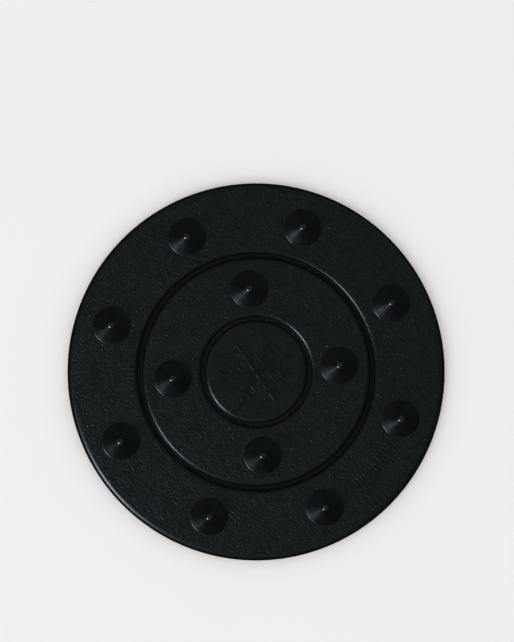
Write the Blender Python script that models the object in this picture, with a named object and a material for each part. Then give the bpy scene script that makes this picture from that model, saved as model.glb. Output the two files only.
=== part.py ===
"""Snowboard stomp pad: a round peel-and-stick traction pad made of three concentric mouldings.

A centre disc, a middle ring with four spikes and an outer ring with eight spikes lie inside one
another on a shared release liner, each stuck to its own piece of double-sided tape. Every moulding
ends in a thin flange along the circular channels, and neighbours meet in the middle of a channel's
floor, so each one can be peeled off the liner by itself.

Metres, +Z up. The origin is the centre of the liner's underside. The middle ring's spikes stand on
the X and Y axes, and Z is the axis of symmetry.
"""

from math import cos, pi, radians, sin, tan

import bmesh
import bpy
from mathutils import Matrix

# Outlines, as radii from the Z axis
DISC_RADIUS = 0.0700
OUTER_CHANNEL_RADIUS = 0.0431
INNER_CHANNEL_RADIUS = 0.0197
TAPE_INSET = 0.0004

# The stack, from the underside up
GAP = 0.0003
LINER_THICKNESS = 0.0003
TAPE_THICKNESS = 0.0004
BASE_THICKNESS = 0.0030

# The mouldings' edges
CHANNEL_FLOOR_WIDTH = 0.0014
CHANNEL_DEPTH = 0.0016
SHOULDER_ROUNDING = 0.0015
RIM_ROUNDING = 0.0022
RIM_DRAFT = 0.0002
ARC_STEPS = 4

# The spikes: cones with a ball-shaped tip
SPIKE_FOOT_RADIUS = 0.0070
SPIKE_TIP_RADIUS = 0.0017
SPIKE_SLOPE = radians(45)
MIDDLE_SPIKES = 4
MIDDLE_SPIKE_CIRCLE = 0.0309
MIDDLE_SPIKE_START = 0.0
OUTER_SPIKES = 8
OUTER_SPIKE_CIRCLE = 0.0562
OUTER_SPIKE_START = radians(22.5)

# The snowflake in low relief on the centre disc
SNOWFLAKE_ARMS = 6
SNOWFLAKE_HEIGHT = 0.0002
ARM_LENGTH = 0.0125
ARM_HALF_WIDTH = 0.0007
BRANCHES = ((0.0046, 0.0034), (0.0082, 0.0028))
BRANCH_HALF_WIDTH = 0.00055
BRANCH_ANGLE = radians(60)

# How finely things are turned
TURN_STEPS = 96
SPIKE_STEPS = 32

# How deep a raised shape is sunk before it is united, how close points are joined, and the
# angle from which an edge is shaded sharp
SINK = 0.0005
WELD = 1e-6
SHARP_ANGLE = radians(30)

LINER_TOP = LINER_THICKNESS
TAPE_Z = LINER_TOP + GAP
MOULDING_Z = TAPE_Z + TAPE_THICKNESS + GAP


def clear_scene():
    for thing in list(bpy.data.objects):
        bpy.data.objects.remove(thing, do_unlink=True)


def material(name, colour, roughness):
    made = bpy.data.materials.new(name)
    made.use_nodes = True
    shader = made.node_tree.nodes["Principled BSDF"]
    shader.inputs["Base Color"].default_value = (*colour, 1.0)
    shader.inputs["Roughness"].default_value = roughness
    shader.inputs["Metallic"].default_value = 0.0
    return made


def turned_mesh(name, profile, steps=TURN_STEPS, ring=False):
    """A closed mesh turned about Z from (radius, height) points.

    A ring's profile closes on itself. Any other profile starts and ends on the axis.
    """
    bm = bmesh.new()
    points = [bm.verts.new((radius, 0.0, height)) for radius, height in profile]
    following = points[1:] + points[:1] if ring else points[1:]
    edges = [bm.edges.new(pair) for pair in zip(points, following)]
    bmesh.ops.spin(
        bm,
        geom=points + edges,
        axis=(0.0, 0.0, 1.0),
        cent=(0.0, 0.0, 0.0),
        angle=2 * pi,
        steps=steps,
    )
    bmesh.ops.remove_doubles(bm, verts=bm.verts, dist=WELD)
    bmesh.ops.recalc_face_normals(bm, faces=bm.faces)
    mesh = bpy.data.meshes.new(name)
    bm.to_mesh(mesh)
    bm.free()
    return mesh


def arc(centre_radius, centre_height, rounding, side):
    """Points of a quarter circle from its top to the side it faces, +1 outwards and -1 inwards."""
    points = []
    for step in range(ARC_STEPS + 1):
        angle = pi / 2 * (1 - step / ARC_STEPS)
        radius = centre_radius + side * rounding * cos(angle)
        points.append((radius, centre_height + rounding * sin(angle)))
    return points


def channel_edge(channel_radius, side):
    """The edge of a moulding along a channel, from its top face down to its underside.

    side is +1 for the moulding inside the channel and -1 for the one around it.
    """
    wall = channel_radius - side * CHANNEL_FLOOR_WIDTH / 2
    seam = channel_radius - side * GAP / 2
    floor = BASE_THICKNESS - CHANNEL_DEPTH
    shoulder = arc(
        wall - side * SHOULDER_ROUNDING,
        BASE_THICKNESS - SHOULDER_ROUNDING,
        SHOULDER_ROUNDING,
        side,
    )
    return shoulder + [(wall, floor), (seam, floor), (seam, 0.0)]


def rim_edge():
    """The outer ring's rounded rim, from the top face down to the underside."""
    top_radius = DISC_RADIUS - RIM_DRAFT
    rounding = arc(
        top_radius - RIM_ROUNDING, BASE_THICKNESS - RIM_ROUNDING, RIM_ROUNDING, 1
    )
    return rounding + [(DISC_RADIUS, 0.0)]


def spike_profile():
    """A spike's outline from the tip down to its sunk foot, which stays on the cone."""
    apex = SPIKE_FOOT_RADIUS * tan(SPIKE_SLOPE)
    ball_height = apex - SPIKE_TIP_RADIUS / cos(SPIKE_SLOPE)
    points = []
    for step in range(ARC_STEPS + 1):
        angle = SPIKE_SLOPE * step / ARC_STEPS
        height = ball_height + SPIKE_TIP_RADIUS * cos(angle)
        points.append((SPIKE_TIP_RADIUS * sin(angle), height))
    foot = SPIKE_FOOT_RADIUS + SINK / tan(SPIKE_SLOPE)
    return points + [(foot, -SINK), (0.0, -SINK)]


def spikes_mesh(name, count, circle, start):
    """Spikes evenly spaced on a circle, standing on a moulding's top face."""
    spike = turned_mesh(name + "_one", spike_profile(), SPIKE_STEPS)
    bm = bmesh.new()
    for number in range(count):
        before = len(bm.verts)
        bm.from_mesh(spike)
        bm.verts.ensure_lookup_table()
        around = Matrix.Rotation(start + 2 * pi * number / count, 4, "Z")
        out = Matrix.Translation((circle, 0.0, BASE_THICKNESS))
        bmesh.ops.transform(bm, matrix=around @ out, verts=bm.verts[before:])
    mesh = bpy.data.meshes.new(name)
    bm.to_mesh(mesh)
    bm.free()
    return mesh


def branch_corners(start, length, side):
    """The four corners of a branch on one side of an arm along +X, from the hub outwards."""
    across = BRANCH_HALF_WIDTH
    corners = []
    for edge in (1, -1):
        foot = (ARM_HALF_WIDTH - edge * across * cos(BRANCH_ANGLE)) / sin(BRANCH_ANGLE)
        for along in (foot, length) if edge == 1 else (length, foot):
            x = start + along * cos(BRANCH_ANGLE) - edge * across * sin(BRANCH_ANGLE)
            y = along * sin(BRANCH_ANGLE) + edge * across * cos(BRANCH_ANGLE)
            corners.append((x, side * y))
    return corners


def snowflake_outline():
    """The outline of all the arms, anticlockwise, with one shared corner between neighbours."""
    half_step = pi / SNOWFLAKE_ARMS
    hollow = ARM_HALF_WIDTH / sin(half_step)
    lower = [(hollow * cos(half_step), -hollow * sin(half_step))]
    upper = []
    for start, length in BRANCHES:
        lower += branch_corners(start, length, -1)
        upper += branch_corners(start, length, 1)
    lower.append((ARM_LENGTH, -ARM_HALF_WIDTH))
    upper.append((ARM_LENGTH, ARM_HALF_WIDTH))
    arm = lower + upper[::-1]
    outline = []
    for number in range(SNOWFLAKE_ARMS):
        turn = 2 * half_step * number
        for x, y in arm:
            outline.append((x * cos(turn) - y * sin(turn), x * sin(turn) + y * cos(turn)))
    return outline


def snowflake_mesh(name):
    bm = bmesh.new()
    low = BASE_THICKNESS - SINK
    face = bm.faces.new([bm.verts.new((x, y, low)) for x, y in snowflake_outline()])
    raised = bmesh.ops.extrude_face_region(bm, geom=[face])["geom"]
    corners = [item for item in raised if isinstance(item, bmesh.types.BMVert)]
    bmesh.ops.translate(bm, vec=(0.0, 0.0, SINK + SNOWFLAKE_HEIGHT), verts=corners)
    bmesh.ops.recalc_face_normals(bm, faces=bm.faces)
    mesh = bpy.data.meshes.new(name)
    bm.to_mesh(mesh)
    bm.free()
    return mesh


def add_object(name, mesh, finish, height, parent):
    made = bpy.data.objects.new(name, mesh)
    mesh.materials.append(finish)
    mesh.shade_smooth()
    mesh.set_sharp_from_angle(angle=SHARP_ANGLE)
    made.location = (0.0, 0.0, height)
    made.parent = parent
    bpy.context.scene.collection.objects.link(made)
    return made


def add_empty(name, parent=None):
    made = bpy.data.objects.new(name, None)
    made.parent = parent
    bpy.context.scene.collection.objects.link(made)
    return made


def unite(moulding, raised_mesh, finish):
    """Unite a moulding with raised shapes that share its frame."""
    raised = add_object(raised_mesh.name, raised_mesh, finish, MOULDING_Z, moulding.parent)
    raised.hide_render = True
    raised.display_type = "WIRE"
    union = moulding.modifiers.new("Unite " + raised.name, "BOOLEAN")
    union.operation = "UNION"
    union.solver = "EXACT"
    union.object = raised


def add_release_liner(finish, parent):
    profile = [(0.0, LINER_TOP), (DISC_RADIUS, LINER_TOP), (DISC_RADIUS, 0.0), (0.0, 0.0)]
    add_object("release_liner", turned_mesh("release_liner", profile), finish, 0.0, parent)


def add_tape(name, inner_radius, outer_radius, finish, parent):
    """Double-sided tape under a moulding: a flat ring, or a disc when inner_radius is 0."""
    edge = [(outer_radius, TAPE_THICKNESS), (outer_radius, 0.0)]
    profile = [(inner_radius, TAPE_THICKNESS), *edge, (inner_radius, 0.0)]
    mesh = turned_mesh(name, profile, ring=inner_radius > 0)
    add_object(name, mesh, finish, TAPE_Z, parent)


def add_outer_ring(finish, parent):
    profile = channel_edge(OUTER_CHANNEL_RADIUS, -1)[::-1] + rim_edge()
    mesh = turned_mesh("outer_ring", profile, ring=True)
    ring = add_object("outer_ring", mesh, finish, MOULDING_Z, parent)
    spikes = spikes_mesh(
        "outer_spikes", OUTER_SPIKES, OUTER_SPIKE_CIRCLE, OUTER_SPIKE_START
    )
    unite(ring, spikes, finish)


def add_middle_ring(finish, parent):
    inner_edge = channel_edge(INNER_CHANNEL_RADIUS, -1)[::-1]
    profile = inner_edge + channel_edge(OUTER_CHANNEL_RADIUS, 1)
    mesh = turned_mesh("middle_ring", profile, ring=True)
    ring = add_object("middle_ring", mesh, finish, MOULDING_Z, parent)
    spikes = spikes_mesh(
        "middle_spikes", MIDDLE_SPIKES, MIDDLE_SPIKE_CIRCLE, MIDDLE_SPIKE_START
    )
    unite(ring, spikes, finish)


def add_centre_disc(finish, parent):
    edge = channel_edge(INNER_CHANNEL_RADIUS, 1)
    profile = [(0.0, BASE_THICKNESS), *edge, (0.0, 0.0)]
    mesh = turned_mesh("centre_disc", profile)
    disc = add_object("centre_disc", mesh, finish, MOULDING_Z, parent)
    unite(disc, snowflake_mesh("snowflake"), finish)


def build():
    clear_scene()
    ring_finish = material("grained_black_tpu", (0.0105, 0.0125, 0.0135), 0.45)
    disc_finish = material("smooth_black_tpu", (0.0085, 0.0105, 0.0110), 0.38)
    tape_finish = material("grey_acrylic_tape", (0.12, 0.12, 0.125), 0.60)
    liner_finish = material("release_paper", (0.74, 0.72, 0.66), 0.50)

    whole = add_empty("stomp_pad")
    outer_pad = add_empty("outer_pad", whole)
    middle_pad = add_empty("middle_pad", whole)
    centre_pad = add_empty("centre_pad", whole)
    seam_inset = GAP / 2 + TAPE_INSET

    add_release_liner(liner_finish, whole)
    add_outer_ring(ring_finish, outer_pad)
    add_tape(
        "outer_ring_tape",
        OUTER_CHANNEL_RADIUS + seam_inset,
        DISC_RADIUS - TAPE_INSET,
        tape_finish,
        outer_pad,
    )
    add_middle_ring(ring_finish, middle_pad)
    add_tape(
        "middle_ring_tape",
        INNER_CHANNEL_RADIUS + seam_inset,
        OUTER_CHANNEL_RADIUS - seam_inset,
        tape_finish,
        middle_pad,
    )
    add_centre_disc(disc_finish, centre_pad)
    add_tape(
        "centre_disc_tape",
        0.0,
        INNER_CHANNEL_RADIUS - seam_inset,
        tape_finish,
        centre_pad,
    )


build()
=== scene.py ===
"""The looks of a round snowboard stomp pad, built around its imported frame.

Every CAD solid is replaced by a finely turned piece in the same place: three black mouldings, the
tape under each of them and the release liner. Sizes that the frame doesn't give are named below,
in millimetres unless a comment says otherwise.
"""

from math import cos, degrees, pi, radians, sin, tan

import bmesh
import bpy
from mathutils import Matrix, Vector


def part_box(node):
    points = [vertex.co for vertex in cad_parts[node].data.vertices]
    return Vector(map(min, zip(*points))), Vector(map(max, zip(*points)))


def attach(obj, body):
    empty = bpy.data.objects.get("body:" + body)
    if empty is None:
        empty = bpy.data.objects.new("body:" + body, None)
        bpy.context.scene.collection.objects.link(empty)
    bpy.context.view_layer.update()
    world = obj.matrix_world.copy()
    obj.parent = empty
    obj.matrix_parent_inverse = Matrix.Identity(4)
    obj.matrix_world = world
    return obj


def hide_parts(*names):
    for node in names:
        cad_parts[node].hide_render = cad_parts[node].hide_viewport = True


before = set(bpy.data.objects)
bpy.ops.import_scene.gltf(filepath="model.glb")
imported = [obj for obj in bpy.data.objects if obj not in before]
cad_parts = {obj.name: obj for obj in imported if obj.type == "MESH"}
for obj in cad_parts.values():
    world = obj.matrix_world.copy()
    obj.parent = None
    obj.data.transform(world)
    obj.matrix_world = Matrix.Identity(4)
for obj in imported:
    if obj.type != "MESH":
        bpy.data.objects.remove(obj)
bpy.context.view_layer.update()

MM = 0.001

# The mouldings' sections, in millimetres
BASE_THICKNESS = 3.0
CHANNEL_FLOOR_WIDTH = 1.4
CHANNEL_DEPTH = 1.6
SHOULDER_ROUNDING = 1.5
CHANNEL_FOOT_ROUNDING = 0.08
RIM_ROUNDING = 2.2
RIM_DRAFT = 0.2
BOTTOM_ROUNDING = 0.25
SEAM_GAP = 0.05
SEAM_LIP = 0.02
FLAT_COLLAR = 0.08

# The spikes
SPIKE_FOOT_RADIUS = 7.0
SPIKE_FOOT_ROUNDING = 0.45
SPIKE_TIP_RADIUS = 1.7
SPIKE_SLOPE = radians(45)
MIDDLE_SPIKES = (4, 30.9, 0.0)
OUTER_SPIKES = (8, 56.2, radians(22.5))

# The reliefs: a snowflake on the centre disc, and a short row of ribs on the outer ring
SNOWFLAKE_ARMS = 6
SNOWFLAKE_HEIGHT = 0.2
SNOWFLAKE_EDGE = 0.42
ARM_LENGTH = 12.5
ARM_HALF_WIDTH = 0.7
BRANCHES = ((4.6, 3.4), (8.2, 2.8))
BRANCH_HALF_WIDTH = 0.55
BRANCH_ANGLE = radians(60)
RIBS = 13
RIB_HEIGHT = 0.13
RIB_EDGE = 0.3
RIB_LENGTH = 5.2
RIB_WIDTH = 0.75
RIB_CIRCLE = 56.6
RIB_STEP = radians(1.6)
RIBS_MIDDLE = radians(-43)

# Tape and liner
TAPE_INSET = 0.4
TAPE_HOLLOW = 0.08
CONTACT_GAP = 0.01
LINER_EDGE_ROUNDING = 0.06
LINER_EDGE_BAND = 1.0

# How finely things are turned: points round a loop, and bands along a section
OUTER_STEPS = 360
MIDDLE_STEPS = 288
CENTRE_STEPS = 192
SPIKE_STEPS = 72
SHOULDER_BANDS = 8
CHANNEL_FOOT_BANDS = 4
RIM_BANDS = 12
BOTTOM_BANDS = 4
SPIKE_FOOT_BANDS = 6
SPIKE_TIP_BANDS = 9
RELIEF_BANDS = 6
TAPE_BANDS = 6
LINER_EDGE_BANDS = 3

# How many bands of an edge still carry the flat's grain, and the angle shaded as sharp
GRAINED_BANDS = 1
SHARP_ANGLE = radians(40)

# Material slots of a ring's mesh. GRAINED is its flat and SMOOTH its rim, inner channel, ribs and
# underside. DULL is the outer channel, POLISHED the spikes' sides and TIP their tips. The centre
# disc has the first two, and its snowflake is SMOOTH
GRAINED, SMOOTH, DULL, POLISHED, TIP = range(5)

# Places read from the frame, in millimetres
PAD_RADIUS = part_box("outer_ring")[1].x / MM
LINER_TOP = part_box("release_liner")[1].z / MM
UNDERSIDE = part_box("outer_ring")[0].z / MM
TOP = UNDERSIDE + BASE_THICKNESS
CAD_SEAM_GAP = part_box("middle_ring_tape")[0].z / MM - LINER_TOP
OUTER_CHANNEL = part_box("middle_ring")[1].x / MM + CAD_SEAM_GAP / 2
INNER_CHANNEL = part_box("centre_disc")[1].x / MM + CAD_SEAM_GAP / 2

# The picture, in metres: what it takes in at the pad's underside and where the pad's centre is.
# Then its turn and the camera, whose lens and sensor are in millimetres
VIEW_HEIGHT = 238.3 * MM
CENTRE_BELOW_MIDDLE = 18.9 * MM
CENTRE_LEFT_OF_MIDDLE = 0.33 * MM
PICTURE_TURN = radians(4.6)
CAMERA_LENS = 180.0
CAMERA_CLIP_END = 20.0
SENSOR = 36.0


# ---------------------------------------------------------------- mesh building


def arc(centre, rounding, first, last, bands):
    """(radius, height) points on an arc about centre, from one angle in degrees to another."""
    points = []
    for step in range(bands + 1):
        angle = radians(first + (last - first) * step / bands)
        points.append((centre[0] + rounding * cos(angle), centre[1] + rounding * sin(angle)))
    return points


def loop_at(bm, radius, height, count, centre):
    """A level ring of count points about centre."""
    points = []
    for step in range(count):
        angle = 2 * pi * step / count
        x = centre[0] + radius * cos(angle)
        y = centre[1] + radius * sin(angle)
        points.append(bm.verts.new((x * MM, y * MM, height * MM)))
    return points


def strip(bm, first, second, slot):
    """A band of quads between two loops with as many points as each other."""
    count = len(first)
    for i in range(count):
        j = (i + 1) % count
        face = bm.faces.new((first[i], first[j], second[j], second[i]))
        face.material_index = slot


def turned(bm, parts, count, centre=(0.0, 0.0)):
    """Bands turned from (material slot, section) parts, each carrying on from the one before.

    A section is a list of (radius, height) points. Returns the first and the last loop.
    """
    first = previous = None
    for slot, section in parts:
        for radius, height in section:
            loop = loop_at(bm, radius, height, count, centre)
            if previous:
                strip(bm, previous, loop, slot)
            previous = loop
            first = first or loop
    return first, previous


def cap(bm, loop, height, slot, centre=(0.0, 0.0)):
    """Closes a loop with a fan to a point at its centre."""
    tip = bm.verts.new((centre[0] * MM, centre[1] * MM, height * MM))
    for i, point in enumerate(loop):
        face = bm.faces.new((point, loop[(i + 1) % len(loop)], tip))
        face.material_index = slot


def fill_between(bm, loops, slot):
    """Fills the flat region between loops that lie in one level plane."""
    edges = []
    for loop in loops:
        for i, point in enumerate(loop):
            pair = (point, loop[(i + 1) % len(loop)])
            edges.append(bm.edges.get(pair) or bm.edges.new(pair))
    filled = bmesh.ops.triangle_fill(bm, use_beauty=True, edges=edges, normal=(0, 0, 1))
    for item in filled["geom"]:
        if isinstance(item, bmesh.types.BMFace):
            item.material_index = slot


def add_piece(name, bm, body, node, finishes):
    """Finishes a bmesh into a piece that stands for a CAD node and rides on a body."""
    bmesh.ops.recalc_face_normals(bm, faces=bm.faces)
    mesh = bpy.data.meshes.new(name)
    bm.to_mesh(mesh)
    bm.free()
    mesh.shade_smooth()
    mesh.set_sharp_from_angle(angle=SHARP_ANGLE)
    for finish in finishes:
        mesh.materials.append(finish)
    piece = bpy.data.objects.new(name, mesh)
    bpy.context.scene.collection.objects.link(piece)
    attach(piece, body)
    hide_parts(node)
    return piece


# ---------------------------------------------------------------- the mouldings


def channel_side(channel_radius, side):
    """A moulding's edge along a channel, from the top face down to the underside.

    side is +1 for the moulding inside the channel and -1 for the one around it.
    """
    wall = channel_radius - side * CHANNEL_FLOOR_WIDTH / 2
    seam = channel_radius - side * SEAM_GAP / 2
    floor = TOP - CHANNEL_DEPTH
    shoulder = (wall - side * SHOULDER_ROUNDING, TOP - SHOULDER_ROUNDING)
    foot = (wall + side * CHANNEL_FOOT_ROUNDING, floor + CHANNEL_FOOT_ROUNDING)
    facing = 0 if side > 0 else 180
    down = 270 if side > 0 else -90
    section = arc(shoulder, SHOULDER_ROUNDING, 90, facing, SHOULDER_BANDS)
    section += arc(foot, CHANNEL_FOOT_ROUNDING, 180 - facing, down, CHANNEL_FOOT_BANDS)
    section += [(seam - side * SEAM_LIP, floor), (seam, floor - SEAM_LIP)]
    return section + [(seam, UNDERSIDE + SEAM_LIP), (seam - side * SEAM_LIP, UNDERSIDE)]


def rim_side():
    """The outer ring's rim, from the top face down to the underside."""
    top_radius = PAD_RADIUS - RIM_DRAFT
    upper_centre = (top_radius - RIM_ROUNDING, TOP - RIM_ROUNDING)
    lower_centre = (PAD_RADIUS - BOTTOM_ROUNDING, UNDERSIDE + BOTTOM_ROUNDING)
    upper = arc(upper_centre, RIM_ROUNDING, 90, 0, RIM_BANDS)
    return upper + arc(lower_centre, BOTTOM_ROUNDING, 0, -90, BOTTOM_BANDS)


def flat_collar(section, side):
    """Where a narrow level band beside an edge starts.

    The band keeps the rounding's shading off the flat.
    """
    return (section[0][0] - side * FLAT_COLLAR, TOP)


def edge_parts(edge, side):
    """Parts for turned() from an edge, which is a material slot and a section.

    The flat's grain runs into the section's start.
    """
    slot, section = edge
    grained = [flat_collar(section, side), *section[: GRAINED_BANDS + 1]]
    return [(GRAINED, grained), (slot, section[GRAINED_BANDS + 1 :])]


def add_spikes(bm, count, circle, start):
    """Spikes evenly spaced on a circle. Returns the loops where they leave the flat top face."""
    apex = SPIKE_FOOT_RADIUS * tan(SPIKE_SLOPE)
    ball = TOP + apex - SPIKE_TIP_RADIUS / cos(SPIKE_SLOPE)
    foot_reach = SPIKE_FOOT_ROUNDING * tan(SPIKE_SLOPE / 2)
    foot_centre = (SPIKE_FOOT_RADIUS + foot_reach, TOP + SPIKE_FOOT_ROUNDING)
    slope = degrees(SPIKE_SLOPE)
    foot = arc(foot_centre, SPIKE_FOOT_ROUNDING, -90, -90 - slope, SPIKE_FOOT_BANDS)
    tip = arc((0.0, ball), SPIKE_TIP_RADIUS, 90 - slope, 90, SPIKE_TIP_BANDS)[:-1]
    collar = [flat_collar(foot, -1), foot[0]]
    loops = []
    for number in range(count):
        angle = start + 2 * pi * number / count
        centre = (circle * cos(angle), circle * sin(angle))
        parts = [(GRAINED, collar), (POLISHED, [*foot[1:], tip[0]]), (TIP, tip[1:])]
        low, high = turned(bm, parts, SPIKE_STEPS, centre)
        cap(bm, high, ball + SPIKE_TIP_RADIUS, TIP, centre)
        loops.append(low)
    return loops


def add_ring(name, inner_edge, outer_edge, steps, spikes, ribs, node, body, finishes):
    """A moulding between two edges, each a material slot and a section from the top down."""
    bm = bmesh.new()
    inner_top, inner_bottom = turned(bm, edge_parts(inner_edge, -1), steps)
    outer_top, outer_bottom = turned(bm, edge_parts(outer_edge, 1), steps)
    raised = add_spikes(bm, *spikes)
    for number in range(ribs):
        raised.append(add_relief(bm, rib_outline(number), RIB_HEIGHT, RIB_EDGE))
    fill_between(bm, [inner_top, outer_top, *raised], GRAINED)
    strip(bm, outer_bottom, inner_bottom, SMOOTH)
    return add_piece(name, bm, body, node, finishes)


def turned_by(corners, angle):
    """(x, y) points turned about the pad's centre."""
    return [(x * cos(angle) - y * sin(angle), x * sin(angle) + y * cos(angle)) for x, y in corners]


def branch_corners(start, length, side, inset):
    """The four corners of a branch on one side of an arm along +X, from the hub outwards."""
    across = BRANCH_HALF_WIDTH - inset
    edge_height = ARM_HALF_WIDTH - inset
    length -= inset
    corners = []
    for edge in (1, -1):
        foot = (edge_height - edge * across * cos(BRANCH_ANGLE)) / sin(BRANCH_ANGLE)
        for along in (foot, length) if edge == 1 else (length, foot):
            x = start + along * cos(BRANCH_ANGLE) - edge * across * sin(BRANCH_ANGLE)
            y = along * sin(BRANCH_ANGLE) + edge * across * cos(BRANCH_ANGLE)
            corners.append((x, side * y))
    return corners


def snowflake_outline(inset):
    """The snowflake's corners, drawn in by inset on every side."""
    half_step = pi / SNOWFLAKE_ARMS
    half_width = ARM_HALF_WIDTH - inset
    hollow = half_width / sin(half_step)
    lower = [(hollow * cos(half_step), -half_width)]
    upper = []
    for start, length in BRANCHES:
        lower += branch_corners(start, length, -1, inset)
        upper += branch_corners(start, length, 1, inset)
    lower.append((ARM_LENGTH - inset, -half_width))
    upper.append((ARM_LENGTH - inset, half_width))
    arm = lower + upper[::-1]
    corners = []
    for number in range(SNOWFLAKE_ARMS):
        corners += turned_by(arm, 2 * half_step * number)
    return corners


def rib_outline(number):
    """A function that gives a rib's corners, drawn in by inset on every side."""
    angle = RIBS_MIDDLE + RIB_STEP * (number - (RIBS - 1) / 2)

    def outline(inset):
        along = RIB_LENGTH / 2 - inset
        across = RIB_WIDTH / 2 - inset
        corners = [(along, -across), (along, across), (-along, across), (-along, -across)]
        return turned_by([(RIB_CIRCLE + x, y) for x, y in corners], angle)

    return outline


def add_relief(bm, outline, rise, edge):
    """Raises a shape whose edges are rounded over a width of edge.

    Returns the loop where it leaves the flat.
    """
    levels = [(-FLAT_COLLAR, 0.0)] + arc((edge, 0.0), edge, 180, 90, RELIEF_BANDS)
    loops = []
    for inset, height in levels:
        z = TOP + rise * height / edge
        loops.append([bm.verts.new((x * MM, y * MM, z * MM)) for x, y in outline(inset)])
    for first, second in zip(loops, loops[1:]):
        strip(bm, first, second, SMOOTH)
    fill_between(bm, [loops[-1]], SMOOTH)
    return loops[0]


def add_centre_disc(finishes):
    """The round moulding inside the inner channel, with its snowflake."""
    bm = bmesh.new()
    edge = (SMOOTH, channel_side(INNER_CHANNEL, 1))
    top, bottom = turned(bm, edge_parts(edge, 1), CENTRE_STEPS)
    snowflake = add_relief(bm, snowflake_outline, SNOWFLAKE_HEIGHT, SNOWFLAKE_EDGE)
    fill_between(bm, [top, snowflake], GRAINED)
    cap(bm, bottom, UNDERSIDE, SMOOTH)
    name = "centre_disc_moulding"
    return add_piece(name, bm, "centre_pad", "centre_disc", finishes)


# ---------------------------------------------------------------- tape and liner


def tape_side(radius, side):
    """A cut edge of the tape, from its top down, drawn in a little at half height."""
    low = LINER_TOP + CONTACT_GAP
    high = UNDERSIDE - CONTACT_GAP
    section = []
    for step in range(TAPE_BANDS + 1):
        share = step / TAPE_BANDS
        hollow = TAPE_HOLLOW * sin(pi * share)
        section.append((radius - side * hollow, high + (low - high) * share))
    return section


def add_tape(name, inner_radius, outer_radius, steps, node, body, finish):
    """Double-sided tape: a flat ring, or a disc when inner_radius is 0."""
    bm = bmesh.new()
    outer_top, outer_bottom = turned(bm, [(0, tape_side(outer_radius, 1))], steps)
    if inner_radius:
        inner_top, inner_bottom = turned(bm, [(0, tape_side(inner_radius, -1))], steps)
        strip(bm, inner_top, outer_top, 0)
        strip(bm, outer_bottom, inner_bottom, 0)
    else:
        cap(bm, outer_top, UNDERSIDE - CONTACT_GAP, 0)
        cap(bm, outer_bottom, LINER_TOP + CONTACT_GAP, 0)
    return add_piece(name, bm, body, node, [finish])


def add_liner(finish):
    """The release liner, a thin round sheet that lies on the floor."""
    bm = bmesh.new()
    edge = LINER_EDGE_ROUNDING
    section = arc((PAD_RADIUS - edge, LINER_TOP - edge), edge, 90, 0, LINER_EDGE_BANDS)
    section += arc((PAD_RADIUS - edge, edge), edge, 0, -90, LINER_EDGE_BANDS)
    inner = PAD_RADIUS - LINER_EDGE_BAND
    parts = [(0, [(inner, LINER_TOP), *section, (inner, 0.0)])]
    top, bottom = turned(bm, parts, OUTER_STEPS)
    cap(bm, top, LINER_TOP, 0)
    cap(bm, bottom, 0.0, 0)
    name = "release_liner_sheet"
    return add_piece(name, bm, "liner", "release_liner", [finish])


# ---------------------------------------------------------------- materials


# A Mix node has sockets for every kind of value under the same names, so its colours go by number
MIX_FIRST_COLOUR = 6
MIX_SECOND_COLOUR = 7
MIX_COLOUR_RESULT = 2

# The part of a noise's range over which a finish drifts
DRIFT_NOISE_RANGE = (0.3, 0.7)


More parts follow.
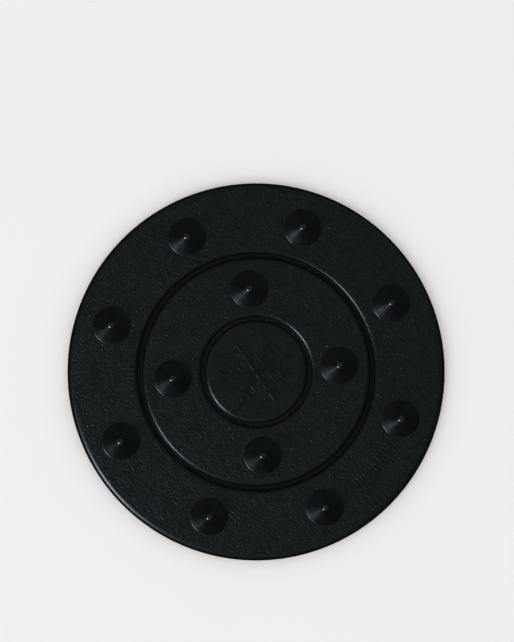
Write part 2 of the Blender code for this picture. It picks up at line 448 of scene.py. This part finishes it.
class Finish:
    """A material under construction: a Principled shader, and nodes in object coordinates."""

    def __init__(self, name, colour, roughness, specular, tint=(1.0, 1.0, 1.0)):
        self.material = bpy.data.materials.new(name)
        self.material.use_nodes = True
        self.nodes = self.material.node_tree.nodes
        self.links = self.material.node_tree.links
        self.shader = self.nodes["Principled BSDF"]
        self.shader.inputs["Base Color"].default_value = (*colour, 1.0)
        self.shader.inputs["Roughness"].default_value = roughness
        self.shader.inputs["Specular IOR Level"].default_value = specular
        self.shader.inputs["Specular Tint"].default_value = (*tint, 1.0)
        self.place = self.add("ShaderNodeTexCoord").outputs["Object"]

    def add(self, kind, **settings):
        node = self.nodes.new(kind)
        for name, value in settings.items():
            setattr(node, name, value)
        return node

    def link(self, output, socket):
        self.links.new(output, socket)

    def noise(self, cell_mm, detail=2.0, roughness=0.5):
        """Noise whose features are about cell_mm across."""
        node = self.add("ShaderNodeTexNoise")
        self.link(self.place, node.inputs["Vector"])
        node.inputs["Scale"].default_value = 1 / (cell_mm * MM)
        node.inputs["Detail"].default_value = detail
        node.inputs["Roughness"].default_value = roughness
        return node.outputs["Fac"]

    def cells(self, cell_mm):
        """The distance to the nearest centre of Voronoi cells about cell_mm across."""
        node = self.add("ShaderNodeTexVoronoi")
        self.link(self.place, node.inputs["Vector"])
        node.inputs["Scale"].default_value = 1 / (cell_mm * MM)
        return node.outputs["Distance"]

    def remap(self, value, low, high, to_low, to_high):
        """A smooth step from to_low to to_high while value goes from low to high."""
        node = self.add("ShaderNodeMapRange", interpolation_type="SMOOTHSTEP")
        self.link(value, node.inputs["Value"])
        node.inputs["From Min"].default_value = low
        node.inputs["From Max"].default_value = high
        node.inputs["To Min"].default_value = to_low
        node.inputs["To Max"].default_value = to_high
        return node.outputs["Result"]

    def uneven(self, cell_mm, detail, low, high):
        """A value that drifts between low and high over the surface."""
        return self.remap(self.noise(cell_mm, detail), *DRIFT_NOISE_RANGE, low, high)

    def bump(self, height, depth_mm, before=None):
        """The normal of a relief that is depth_mm high where height is 1, on top of before's."""
        node = self.add("ShaderNodeBump")
        self.link(height, node.inputs["Height"])
        node.inputs["Strength"].default_value = 1.0
        node.inputs["Distance"].default_value = depth_mm * MM
        if before:
            self.link(before, node.inputs["Normal"])
        return node.outputs["Normal"]

    def mix_colours(self, share, first, second):
        """A colour between first and second."""
        node = self.add("ShaderNodeMix", data_type="RGBA")
        self.link(share, node.inputs["Factor"])
        node.inputs[MIX_FIRST_COLOUR].default_value = (*first, 1.0)
        node.inputs[MIX_SECOND_COLOUR].default_value = (*second, 1.0)
        return node.outputs[MIX_COLOUR_RESULT]

    def use(self, **sockets):
        """Links outputs to the shader's sockets, named with _ for each space."""
        for name, output in sockets.items():
            self.link(output, self.shader.inputs[name.replace("_", " ")])
        return self.material


# The black plastic
BLACK_DEEP = (0.0012, 0.0016, 0.0016)
BLACK_SOFT = (0.0024, 0.0029, 0.0029)
COOL_TINT = (0.83, 0.98, 1.02)

# Its grain. Distances to a cell's centre are shares of the cell, and depths shares of the grain's
PEBBLE_FOOT = 0.72
HIGH_PEBBLE_CELL_MM = 1.9
HIGH_PEBBLE_TOP_AND_FOOT = (0.05, 0.25)
HIGH_PEBBLE_DEPTH = 0.8
FINE_GRAIN_MM = 0.3
FINE_GRAIN_DEPTH = 0.06

# The tape and the liner: a plain colour each, and the two that the surface drifts between
TAPE_GREY = (0.10, 0.10, 0.105)
TAPE_DARKER = (0.085, 0.085, 0.09)
TAPE_LIGHTER = (0.115, 0.115, 0.12)
PAPER = (0.74, 0.72, 0.66)
PAPER_DARKER = (0.70, 0.68, 0.61)
PAPER_LIGHTER = (0.77, 0.75, 0.69)


def grained_black(name, roughness, depth_mm, grain_mm):
    """Grained TPU: small round pebbles close together, with a few that stand higher."""
    finish = Finish(name, BLACK_DEEP, roughness, specular=0.45, tint=COOL_TINT)
    pebble = finish.remap(finish.cells(grain_mm), 0.0, PEBBLE_FOOT, 1.0, 0.0)
    grain = finish.bump(pebble, depth_mm)
    high_cells = finish.cells(HIGH_PEBBLE_CELL_MM)
    high_pebble = finish.remap(high_cells, *HIGH_PEBBLE_TOP_AND_FOOT, 1.0, 0.0)
    spotted = finish.bump(high_pebble, depth_mm * HIGH_PEBBLE_DEPTH, grain)
    fine_noise = finish.noise(FINE_GRAIN_MM, detail=3.0)
    fine = finish.bump(fine_noise, depth_mm * FINE_GRAIN_DEPTH, spotted)
    patchy = finish.noise(cell_mm=9.0, detail=3.0)
    mottled = finish.mix_colours(patchy, BLACK_DEEP, BLACK_SOFT)
    rough = finish.uneven(cell_mm=3.0, detail=4.0, low=roughness - 0.04, high=roughness + 0.05)
    return finish.use(Base_Color=mottled, Roughness=rough, Normal=fine)


def smooth_black(name, roughness, specular):
    """The same plastic where the mould was smooth, with the faint unevenness of a moulded skin."""
    finish = Finish(name, BLACK_DEEP, roughness, specular, COOL_TINT)
    skin = finish.bump(finish.noise(cell_mm=0.5, detail=3.0), depth_mm=0.004)
    mottled = finish.mix_colours(finish.noise(cell_mm=6.0), BLACK_DEEP, BLACK_SOFT)
    rough = finish.uneven(cell_mm=2.0, detail=3.0, low=roughness - 0.03, high=roughness + 0.03)
    return finish.use(Base_Color=mottled, Roughness=rough, Normal=skin)


def acrylic_tape():
    """Grey adhesive tape, faintly rippled."""
    finish = Finish("grey_acrylic_tape", TAPE_GREY, roughness=0.55, specular=0.4)
    skin = finish.bump(finish.noise(cell_mm=0.4, detail=4.0), depth_mm=0.02)
    ripple = finish.bump(finish.noise(cell_mm=5.0, detail=1.0), depth_mm=0.08, before=skin)
    tone = finish.mix_colours(finish.noise(cell_mm=0.6, detail=3.0), TAPE_DARKER, TAPE_LIGHTER)
    rough = finish.uneven(cell_mm=2.5, detail=3.0, low=0.45, high=0.65)
    return finish.use(Base_Color=tone, Roughness=rough, Normal=ripple)


def release_paper():
    """Off-white coated paper, fibrous and faintly cockled."""
    finish = Finish("release_paper", PAPER, roughness=0.42, specular=0.45)
    fibre = finish.bump(finish.noise(cell_mm=0.35, detail=5.0, roughness=0.6), depth_mm=0.012)
    cockle = finish.bump(finish.noise(cell_mm=14.0), depth_mm=0.25, before=fibre)
    tone = finish.mix_colours(finish.noise(cell_mm=1.2, detail=5.0), PAPER_DARKER, PAPER_LIGHTER)
    rough = finish.uneven(cell_mm=4.0, detail=3.0, low=0.36, high=0.50)
    return finish.use(Base_Color=tone, Roughness=rough, Normal=cockle)


# ---------------------------------------------------------------- the set


# What glossy surfaces see of the room besides the key softbox: dark near the horizon, grey higher
# up, and windows given as azimuth, zenith, brightness and colour
ROOM_DARKEST = 0.008
ROOM_WALLS = 0.075
ROOM_WINDOWS = (
    (50, 62, 0.17, (0.60, 0.92, 1.08)),
    (130, 62, 0.11, (1.14, 1.00, 0.84)),
    (262, 50, 0.14, (1.00, 1.00, 1.00)),
)

# Cosines between which a window grows from nothing to its full brightness, and heights on the
# unit sphere between which the room does
WINDOW_RISE = (0.65, 1.0)
HORIZON_RISE = (-0.08, 0.48)

# The fill on matt surfaces, the floor and the softboxes. Sizes are in metres
FILL = 0.94
WHITE = (1.0, 1.0, 1.0)
FLOOR_SIZE = 16.0
FLOOR_ALBEDO = 0.80
FLOOR_MOTTLING = 0.01
KEY_SIZE = (0.28, 0.48)
KEY_COLOUR = (0.97, 0.98, 1.10)
SOFT_SIZE = (1.2, 1.2)


def add_floor():
    """A pale floor, which no glossy surface sees."""
    bpy.ops.mesh.primitive_plane_add(size=FLOOR_SIZE, location=(0.0, 0.0, 0.0))
    floor = bpy.context.object
    floor.name = "floor"
    finish = Finish("pale_floor", (FLOOR_ALBEDO,) * 3, roughness=1.0, specular=0.0)
    darker = (FLOOR_ALBEDO - FLOOR_MOTTLING,) * 3
    lighter = (FLOOR_ALBEDO + FLOOR_MOTTLING,) * 3
    tone = finish.mix_colours(finish.noise(cell_mm=60.0, detail=3.0), darker, lighter)
    floor.data.materials.append(finish.use(Base_Color=tone))
    floor.visible_glossy = False


def direction(azimuth, zenith):
    """A unit vector from the pad's centre, for angles in degrees as the picture shows them."""
    around = radians(azimuth) - PICTURE_TURN
    down = radians(zenith)
    return Vector((sin(down) * cos(around), sin(down) * sin(around), cos(down)))


def add_softbox(name, azimuth, zenith, distance, size, power, colour, glossy):
    """A softbox aimed at the pad, seen in glossy reflections only or by matt surfaces only."""
    data = bpy.data.lights.new(name, "AREA")
    data.shape = "RECTANGLE"
    data.size, data.size_y = size
    data.energy = power
    data.color = colour
    light = bpy.data.objects.new(name, data)
    away = direction(azimuth, zenith)
    light.location = away * distance
    light.rotation_euler = away.to_track_quat("Z", "Y").to_euler()
    light.visible_camera = False
    light.visible_glossy = glossy
    light.visible_diffuse = not glossy
    bpy.context.scene.collection.objects.link(light)


def glow(nodes, links, place, centre, facing_range, brightness):
    """A smooth rise to brightness as the direction of view turns towards a centre."""
    facing = nodes.new("ShaderNodeVectorMath")
    facing.operation = "DOT_PRODUCT"
    facing.inputs[1].default_value = centre
    links.new(place, facing.inputs[0])
    rise = nodes.new("ShaderNodeMapRange")
    rise.interpolation_type = "SMOOTHSTEP"
    rise.inputs["From Min"].default_value = facing_range[0]
    rise.inputs["From Max"].default_value = facing_range[1]
    rise.inputs["To Max"].default_value = brightness
    links.new(facing.outputs["Value"], rise.inputs["Value"])
    return rise.outputs["Result"]


def multiply_add(nodes, links, first, second, third):
    """first * second + third for vectors, each an output or fixed values."""
    node = nodes.new("ShaderNodeVectorMath")
    node.operation = "MULTIPLY_ADD"
    for socket, value in zip(node.inputs, (first, second, third)):
        if isinstance(value, bpy.types.NodeSocket):
            links.new(value, socket)
        else:
            socket.default_value = value
    return node.outputs["Vector"]


def add_world():
    """An even pale backdrop, a soft fill for matt surfaces and a dim room for glossy ones."""
    world = bpy.data.worlds.new("studio")
    bpy.context.scene.world = world
    world.use_nodes = True
    nodes, links = world.node_tree.nodes, world.node_tree.links
    rays = nodes.new("ShaderNodeLightPath")
    place = nodes.new("ShaderNodeTexCoord").outputs["Generated"]
    fill = nodes["Background"]
    fill.inputs["Color"].default_value = (*WHITE, 1.0)
    fill.inputs["Strength"].default_value = FILL
    light = (ROOM_WALLS,) * 3
    for azimuth, zenith, brightness, colour in ROOM_WINDOWS:
        centre = direction(azimuth, zenith)
        window = glow(nodes, links, place, centre, WINDOW_RISE, brightness)
        light = multiply_add(nodes, links, window, colour, light)
    above_horizon = glow(nodes, links, place, (0.0, 0.0, 1.0), HORIZON_RISE, 1.0)
    room = nodes.new("ShaderNodeBackground")
    seen_light = multiply_add(nodes, links, light, above_horizon, (ROOM_DARKEST,) * 3)
    links.new(seen_light, room.inputs["Color"])
    backdrop = nodes.new("ShaderNodeBackground")
    backdrop.inputs["Color"].default_value = (*((FILL * FLOOR_ALBEDO,) * 3), 1.0)
    glossy = nodes.new("ShaderNodeMixShader")
    seen = nodes.new("ShaderNodeMixShader")
    links.new(rays.outputs["Is Glossy Ray"], glossy.inputs["Fac"])
    links.new(fill.outputs["Background"], glossy.inputs[1])
    links.new(room.outputs["Background"], glossy.inputs[2])
    links.new(rays.outputs["Is Camera Ray"], seen.inputs["Fac"])
    links.new(glossy.outputs["Shader"], seen.inputs[1])
    links.new(backdrop.outputs["Background"], seen.inputs[2])
    links.new(seen.outputs["Shader"], nodes["World Output"].inputs["Surface"])


def add_camera():
    """Straight above, turned and placed so that the pad sits in the frame as in the picture."""
    data = bpy.data.cameras.new("camera")
    data.lens = CAMERA_LENS
    data.sensor_width = SENSOR
    camera = bpy.data.objects.new("camera", data)
    bpy.context.scene.collection.objects.link(camera)
    height = UNDERSIDE * MM + VIEW_HEIGHT * CAMERA_LENS / SENSOR
    turn = Matrix.Rotation(-PICTURE_TURN, 4, "Z")
    camera.location = turn @ Vector((CENTRE_LEFT_OF_MIDDLE, CENTRE_BELOW_MIDDLE, height))
    camera.rotation_euler = (0.0, 0.0, -PICTURE_TURN)
    data.clip_end = CAMERA_CLIP_END
    bpy.context.scene.camera = camera


def build():
    """Every piece, each kind of plastic where it belongs, and the set round them."""
    grained = grained_black("grained_black_tpu", roughness=0.395, depth_mm=0.108, grain_mm=1.05)
    disc_flat = grained_black("fine_black_tpu", roughness=0.385, depth_mm=0.060, grain_mm=0.95)
    smooth = smooth_black("smooth_black_tpu", roughness=0.31, specular=0.46)
    polished = smooth_black("polished_black_tpu", roughness=0.30, specular=0.5)
    tips = smooth_black("burnished_black_tpu", roughness=0.24, specular=1.0)
    dull = smooth_black("dull_black_tpu", roughness=0.32, specular=0.36)
    finishes = [grained, smooth, dull, polished, tips]

    inner_edge = (DULL, channel_side(OUTER_CHANNEL, -1))
    add_ring("outer_ring_moulding", inner_edge, (SMOOTH, rim_side()), OUTER_STEPS,
             OUTER_SPIKES, RIBS, "outer_ring", "outer_pad", finishes)
    inner_edge = (SMOOTH, channel_side(INNER_CHANNEL, -1))
    outer_edge = (DULL, channel_side(OUTER_CHANNEL, 1))
    add_ring("middle_ring_moulding", inner_edge, outer_edge, MIDDLE_STEPS,
             MIDDLE_SPIKES, 0, "middle_ring", "middle_pad", finishes)
    add_centre_disc([disc_flat, smooth])

    tape = acrylic_tape()
    seam = SEAM_GAP / 2 + TAPE_INSET
    add_tape("outer_ring_tape_sheet", OUTER_CHANNEL + seam, PAD_RADIUS - TAPE_INSET, OUTER_STEPS,
             "outer_ring_tape", "outer_pad", tape)
    add_tape("middle_ring_tape_sheet", INNER_CHANNEL + seam, OUTER_CHANNEL - seam, MIDDLE_STEPS,
             "middle_ring_tape", "middle_pad", tape)
    add_tape("centre_disc_tape_sheet", 0.0, INNER_CHANNEL - seam, CENTRE_STEPS,
             "centre_disc_tape", "centre_pad", tape)
    add_liner(release_paper())

    add_floor()
    add_world()
    add_softbox("key", azimuth=219, zenith=59, distance=1.0, size=KEY_SIZE, power=6.2,
                colour=KEY_COLOUR, glossy=True)
    add_softbox("soft", azimuth=221, zenith=40, distance=1.5, size=SOFT_SIZE, power=5.0,
                colour=WHITE, glossy=False)
    add_camera()
    bpy.context.scene.view_settings.view_transform = "Standard"
    bpy.context.scene.view_settings.look = "None"


build()
